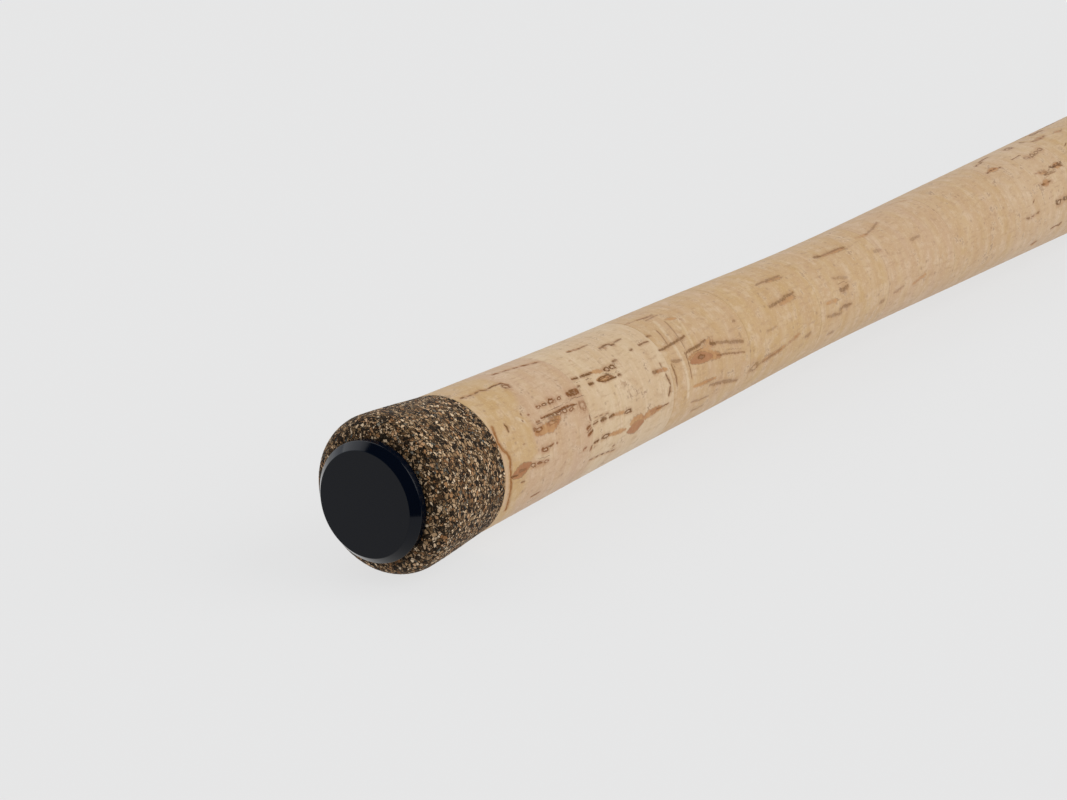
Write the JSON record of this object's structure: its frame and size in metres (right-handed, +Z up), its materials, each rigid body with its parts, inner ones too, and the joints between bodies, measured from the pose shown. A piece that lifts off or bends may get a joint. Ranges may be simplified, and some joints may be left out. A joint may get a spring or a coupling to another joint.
{
  "type": "boat rod",
  "caption": "Boat fishing rod with a turned cork handle, a screw reel seat, ring guides, a tip ring and a ferrule joint.",
  "frame": {"origin": "centre of the butt cap's flat face", "axes": "+X along the rod from the butt to the tip, +Z up, -Y towards the reel and the guides, as the rod lies on a table"},
  "size_m": [1.8, 0.0548, 0.0284],
  "materials": {
    "black_anodised": "satin",
    "burl_cork": "matte",
    "cork": "matte",
    "graphite": "satin",
    "blank_varnish": "gloss",
    "thread_wrap": "gloss",
    "guide_steel": "polished",
    "guide_ceramic": "polished"
  },
  "bodies": {
    "butt_section": {"butt_cap": "black_anodised", "butt_burl_ring": "burl_cork", "rear_cork_01": "cork", "rear_cork_02": "cork", "rear_cork_03": "cork", "rear_cork_04": "cork", "rear_cork_05": "cork", "rear_cork_06": "cork", "rear_cork_07": "cork", "rear_cork_08": "cork", "rear_cork_09": "cork", "rear_cork_10": "cork", "rear_cork_11": "cork", "seat_arbor": "cork", "seat_tube": "graphite", "fixed_hood": "black_anodised", "fore_cork_1": "cork", "fore_cork_2": "cork", "fore_cork_3": "cork", "fore_cork_4": "cork", "fore_burl_ring": "burl_cork", "winding_check": "black_anodised", "butt_blank": "blank_varnish", "hook_keeper": "guide_steel", "keeper_wrap_rear": "thread_wrap", "keeper_wrap_front": "thread_wrap", "ferrule_socket": "black_anodised", "socket_wrap": "thread_wrap", "guide_1_frame": "guide_steel", "guide_1_ring": "guide_ceramic", "guide_1_wrap_front": "thread_wrap", "guide_1_wrap_rear": "thread_wrap"},
    "hood": {"sliding_hood": "black_anodised"},
    "nut": {"lock_nut": "black_anodised"},
    "tip_section": {"ferrule_plug": "black_anodised", "plug_wrap": "thread_wrap", "tip_blank": "blank_varnish", "guide_2_frame": "guide_steel", "guide_2_ring": "guide_ceramic", "guide_2_wrap_front": "thread_wrap", "guide_2_wrap_rear": "thread_wrap", "guide_3_frame": "guide_steel", "guide_3_ring": "guide_ceramic", "guide_3_wrap_front": "thread_wrap", "guide_3_wrap_rear": "thread_wrap", "guide_4_frame": "guide_steel", "guide_4_ring": "guide_ceramic", "guide_4_wrap_front": "thread_wrap", "guide_5_frame": "guide_steel", "guide_5_ring": "guide_ceramic", "guide_5_wrap_front": "thread_wrap", "guide_6_frame": "guide_steel", "guide_6_ring": "guide_ceramic", "guide_6_wrap_front": "thread_wrap", "tip_frame": "guide_steel", "tip_ring": "guide_ceramic", "tip_wrap": "thread_wrap"}
  },
  "joints": [
    {"name": "hood_travel", "type": "slide", "parent": "butt_section", "child": "hood", "axis": [1, 0, 0], "range_m": [-0.006, 0.015]},
    {"name": "nut_spin", "type": "hinge", "parent": "hood", "child": "nut", "pos_m": [0.42325, 0, 0], "axis": [1, 0, 0], "range_deg": [-720, 1800]},
    {"name": "tip_pull", "type": "slide", "parent": "butt_section", "child": "tip_section", "axis": [1, 0, 0], "range_m": [0, 0.055]}
  ],
  "couplings": [
    {"joint": "hood_travel", "follows": "nut_spin", "m_per_rad": 0.00047746}
  ]
}
